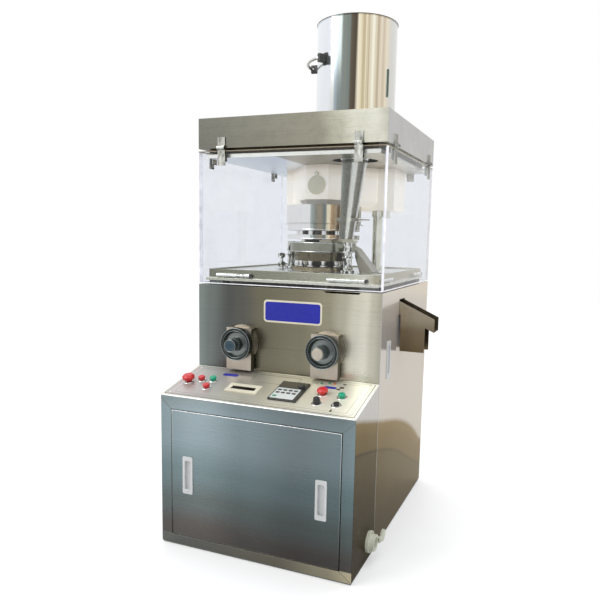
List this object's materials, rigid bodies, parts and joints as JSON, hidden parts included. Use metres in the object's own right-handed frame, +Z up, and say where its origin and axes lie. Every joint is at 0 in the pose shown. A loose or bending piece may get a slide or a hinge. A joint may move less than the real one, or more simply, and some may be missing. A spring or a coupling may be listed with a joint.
{
  "type": "rotary tablet press",
  "caption": "Rotary tablet press: steel cabinet with sloping console, clear windowed press chamber, turret, feed hopper on the roof, twin adjustment dials and a side discharge chute.",
  "frame": {"origin": "on the floor at the centre of the cabinet's footprint", "axes": "+Z up, +Y to the rear, +X to the right of an operator facing the console"},
  "size_m": [0.783, 0.9037, 1.68],
  "materials": {
    "brushed_panel": "satin, horizontal brushing",
    "console_steel": "satin brushed",
    "polished_panel": "polished",
    "hood_steel": "satin with cloudy polish",
    "hopper_steel": "mirror polished",
    "tube_steel": "satin",
    "shroud_steel": "satin",
    "turret_steel": "polished",
    "tool_steel": "ground and hardened",
    "chrome_fittings": "bright chrome",
    "feeder_bronze": "satin",
    "table_steel": "satin",
    "console_plate": "satin overlay",
    "acrylic": "clear polished",
    "hinge_steel": "satin",
    "dial_metal": "turned, dark anodised",
    "bracket_steel": "satin",
    "red_plastic": "gloss",
    "green_plastic": "gloss",
    "black_plastic": "satin",
    "cast_frame": "painted",
    "shaft_steel": "turned",
    "worm_bronze": "machined",
    "pulley_iron": "machined",
    "belt_rubber": "matte",
    "motor_paint": "semi gloss",
    "inlet_plastic": "matte"
  },
  "bodies": {
    "cabinet": {"base_frame": "cast_frame", "side_casing": "brushed_panel", "front_panel": "brushed_panel", "console_shell": "console_steel", "console_top": "console_plate", "table_plate": "table_steel", "window_catches": "chrome_fittings", "takeoff_ramp": "tube_steel", "feed_posts": "chrome_fittings", "lower_cam_ring": "tool_steel", "upper_cam_housing": "turret_steel", "upper_housing": "shroud_steel", "upper_frame": "shroud_steel", "columns": "chrome_fittings", "ceiling_tray": "hood_steel", "hood": "hood_steel", "hopper": "hopper_steel", "feed_tube": "tube_steel", "feed_frame": "feeder_bronze", "hinge_leaves": "hinge_steel", "dial_brackets": "bracket_steel", "gearbox_housing": "cast_frame", "motor": "motor_paint", "drive_belt": "belt_rubber", "inlet_socket": "inlet_plastic"},
    "turret": {"turret_disc": "turret_steel", "dies": "tool_steel", "upper_punches": "tool_steel", "lower_punches": "tool_steel", "main_shaft": "shaft_steel", "worm_wheel": "worm_bronze"},
    "worm": {"worm_shaft": "shaft_steel", "worm_pulley": "pulley_iron"},
    "motor_rotor": {"motor_pulley": "pulley_iron"},
    "upper_pressure_roller": {"upper_roller": "shaft_steel"},
    "lower_pressure_roller": {"lower_roller": "shaft_steel"},
    "front_door": {"front_window": "acrylic", "front_window_clamps": "hinge_steel"},
    "rear_door": {"rear_window": "acrylic", "rear_window_clamps": "hinge_steel"},
    "left_door": {"left_window": "acrylic", "left_window_clamps": "hinge_steel"},
    "right_door": {"right_window": "acrylic", "right_window_clamps": "hinge_steel"},
    "console_door": {"service_door": "console_steel"},
    "side_panel": {"right_side_panel": "polished_panel", "discharge_chute": "polished_panel"},
    "sight_cover": {"inspection_cover": "shroud_steel"},
    "left_dial": {"left_dial": "dial_metal"},
    "right_dial": {"right_dial": "dial_metal"},
    "gate": {"slide_gate": "tube_steel"},
    "cap": {"inlet_cap": "inlet_plastic"},
    "estop_button": {"estop_button": "red_plastic"},
    "red_button": {"red_button": "red_plastic"},
    "green_button": {"green_button": "green_plastic"},
    "stop_button": {"stop_button": "red_plastic"},
    "lamp_button": {"lamp_button": "red_plastic"},
    "start_button": {"start_button": "green_plastic"},
    "selector_knob": {"selector_knob": "black_plastic"},
    "key_switch": {"key_switch": "black_plastic"}
  },
  "joints": [
    {"name": "turret_spin", "type": "hinge", "parent": "cabinet", "child": "turret", "pos_m": [0, 0.113, 0.9], "axis": [0, 0, 1], "continuous": true},
    {"name": "worm_spin", "type": "hinge", "parent": "cabinet", "child": "worm", "pos_m": [0, 0.243, 0.5], "axis": [1, 0, 0], "continuous": true},
    {"name": "motor_spin", "type": "hinge", "parent": "cabinet", "child": "motor_rotor", "pos_m": [0, 0.102, 0.11], "axis": [1, 0, 0], "continuous": true},
    {"name": "upper_roller_spin", "type": "hinge", "parent": "cabinet", "child": "upper_pressure_roller", "pos_m": [0, 0.205, 1.156], "axis": [0, 1, 0], "continuous": true},
    {"name": "lower_roller_spin", "type": "hinge", "parent": "cabinet", "child": "lower_pressure_roller", "pos_m": [0, 0.205, 0.8284], "axis": [0, 1, 0], "continuous": true},
    {"name": "front_window_lift", "type": "hinge", "parent": "cabinet", "child": "front_door", "pos_m": [0, -0.227, 1.279], "axis": [-1, 0, 0], "range_deg": [0, 85]},
    {"name": "rear_window_lift", "type": "hinge", "parent": "cabinet", "child": "rear_door", "pos_m": [0, 0.452, 1.279], "axis": [1, 0, 0], "range_deg": [0, 85]},
    {"name": "left_window_lift", "type": "hinge", "parent": "cabinet", "child": "left_door", "pos_m": [-0.332, 0.1125, 1.279], "axis": [0, 1, 0], "range_deg": [0, 85]},
    {"name": "right_window_lift", "type": "hinge", "parent": "cabinet", "child": "right_door", "pos_m": [0.332, 0.1125, 1.279], "axis": [0, -1, 0], "range_deg": [0, 85]},
    {"name": "console_door_pull", "type": "slide", "parent": "cabinet", "child": "console_door", "axis": [0, -1, 0], "range_m": [0, 0.12]},
    {"name": "side_panel_pull", "type": "slide", "parent": "cabinet", "child": "side_panel", "axis": [1, 0, 0], "range_m": [0, 0.12]},
    {"name": "cover_swing", "type": "hinge", "parent": "cabinet", "child": "sight_cover", "pos_m": [0, 0.033, 1.217], "axis": [0, 1, 0], "range_deg": [-70, 70]},
    {"name": "left_dial_turn", "type": "hinge", "parent": "cabinet", "child": "left_dial", "pos_m": [-0.152, -0.25, 0.641], "axis": [0, -1, 0], "continuous": true},
    {"name": "right_dial_turn", "type": "hinge", "parent": "cabinet", "child": "right_dial", "pos_m": [0.152, -0.25, 0.641], "axis": [0, -1, 0], "continuous": true},
    {"name": "gate_slide", "type": "slide", "parent": "cabinet", "child": "gate", "axis": [1, 0, 0], "range_m": [0, 0.05]},
    {"name": "estop_button_press", "type": "slide", "parent": "cabinet", "child": "estop_button", "axis": [0, 0.2252, -0.9743], "range_m": [0, 0.005], "stiffness_N_per_m": 600, "springref_m": -0.002},
    {"name": "red_button_press", "type": "slide", "parent": "cabinet", "child": "red_button", "axis": [0, 0.2252, -0.9743], "range_m": [0, 0.004], "stiffness_N_per_m": 600, "springref_m": -0.002},
    {"name": "green_button_press", "type": "slide", "parent": "cabinet", "child": "green_button", "axis": [0, 0.2252, -0.9743], "range_m": [0, 0.004], "stiffness_N_per_m": 600, "springref_m": -0.002},
    {"name": "stop_button_press", "type": "slide", "parent": "cabinet", "child": "stop_button", "axis": [0, 0.2252, -0.9743], "range_m": [0, 0.004], "stiffness_N_per_m": 600, "springref_m": -0.002},
    {"name": "lamp_button_press", "type": "slide", "parent": "cabinet", "child": "lamp_button", "axis": [0, 0.2252, -0.9743], "range_m": [0, 0.004], "stiffness_N_per_m": 600, "springref_m": -0.002},
    {"name": "start_button_press", "type": "slide", "parent": "cabinet", "child": "start_button", "axis": [0, 0.2252, -0.9743], "range_m": [0, 0.004], "stiffness_N_per_m": 600, "springref_m": -0.002},
    {"name": "selector_turn", "type": "hinge", "parent": "cabinet", "child": "selector_knob", "pos_m": [0.183, -0.38459, 0.50596], "axis": [0, -0.2252, 0.9743], "range_deg": [-45, 45]},
    {"name": "key_turn", "type": "hinge", "parent": "cabinet", "child": "key_switch", "pos_m": [0.244, -0.38264, 0.50641], "axis": [0, -0.2252, 0.9743], "range_deg": [0, 90]},
    {"name": "cap_swing", "type": "hinge", "parent": "cabinet", "child": "cap", "pos_m": [0.355, -0.255, 0.062], "axis": [0, 0, -1], "range_deg": [0, 180]}
  ],
  "couplings": [
    {"joint": "worm_spin", "follows": "turret_spin", "ratio": 30},
    {"joint": "motor_spin", "follows": "turret_spin", "ratio": 71.429}
  ]
}
